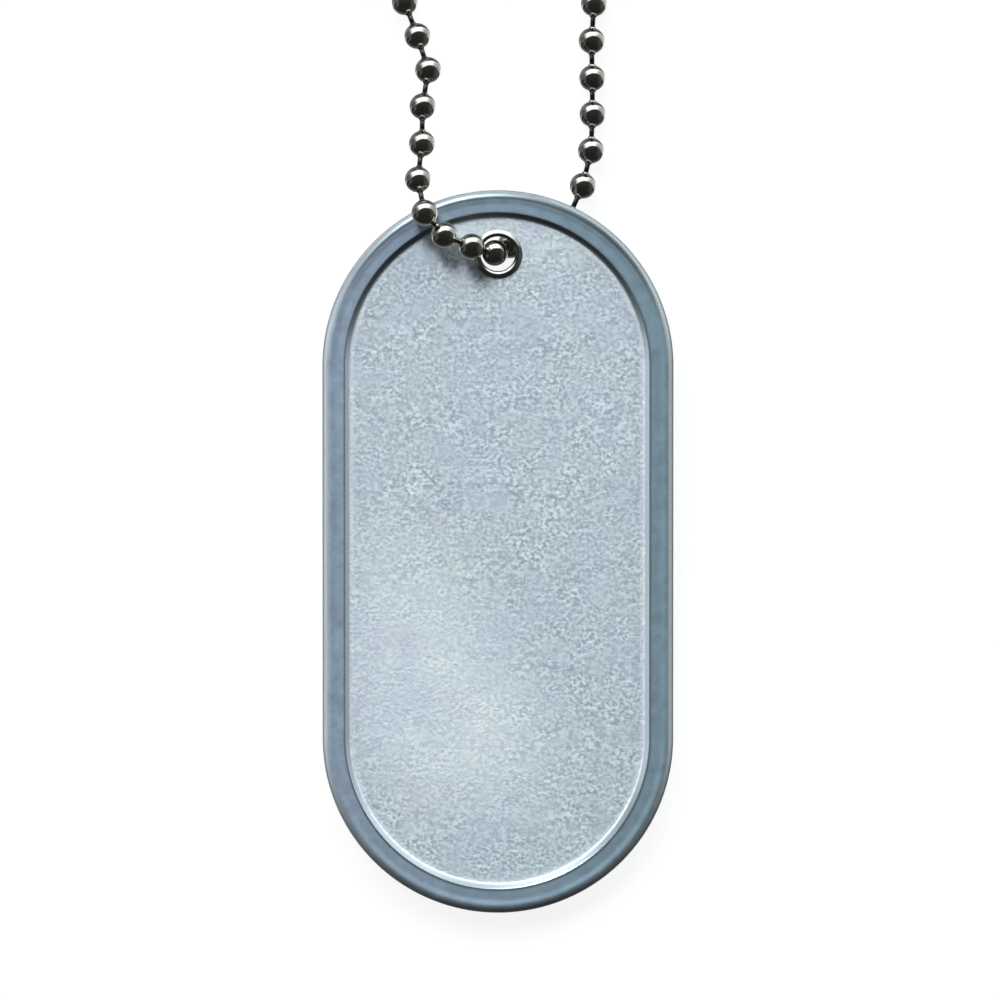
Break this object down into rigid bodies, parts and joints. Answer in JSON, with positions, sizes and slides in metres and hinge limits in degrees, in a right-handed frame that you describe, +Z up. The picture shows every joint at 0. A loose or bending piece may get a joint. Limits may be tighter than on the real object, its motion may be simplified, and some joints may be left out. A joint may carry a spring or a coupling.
{
  "type": "identification dog tag with ball chain",
  "caption": "Blank stadium-shaped metal identification tag with a raised rim and an eyelet, lying on a looped nickel ball chain with a sleeve connector.",
  "frame": {"origin": "on the surface that the tag and chain lie on, at the middle of the part's box", "axes": "+Z up from the surface, +Y from the foot of the tag to the connector at the far end of the chain, +X to the right of the tag's face"},
  "size_m": [0.1586, 0.2944, 0.0074],
  "materials": {
    "tag_metal": "blue-grey satin rim with a rounded edge, pale sand-grained panel",
    "nickel": "bright nickel plate"
  },
  "bodies": {
    "root": {"tag_plate": "tag_metal", "eyelet": "nickel", "ball_chain": "nickel", "connector": "nickel"}
  },
  "joints": []
}
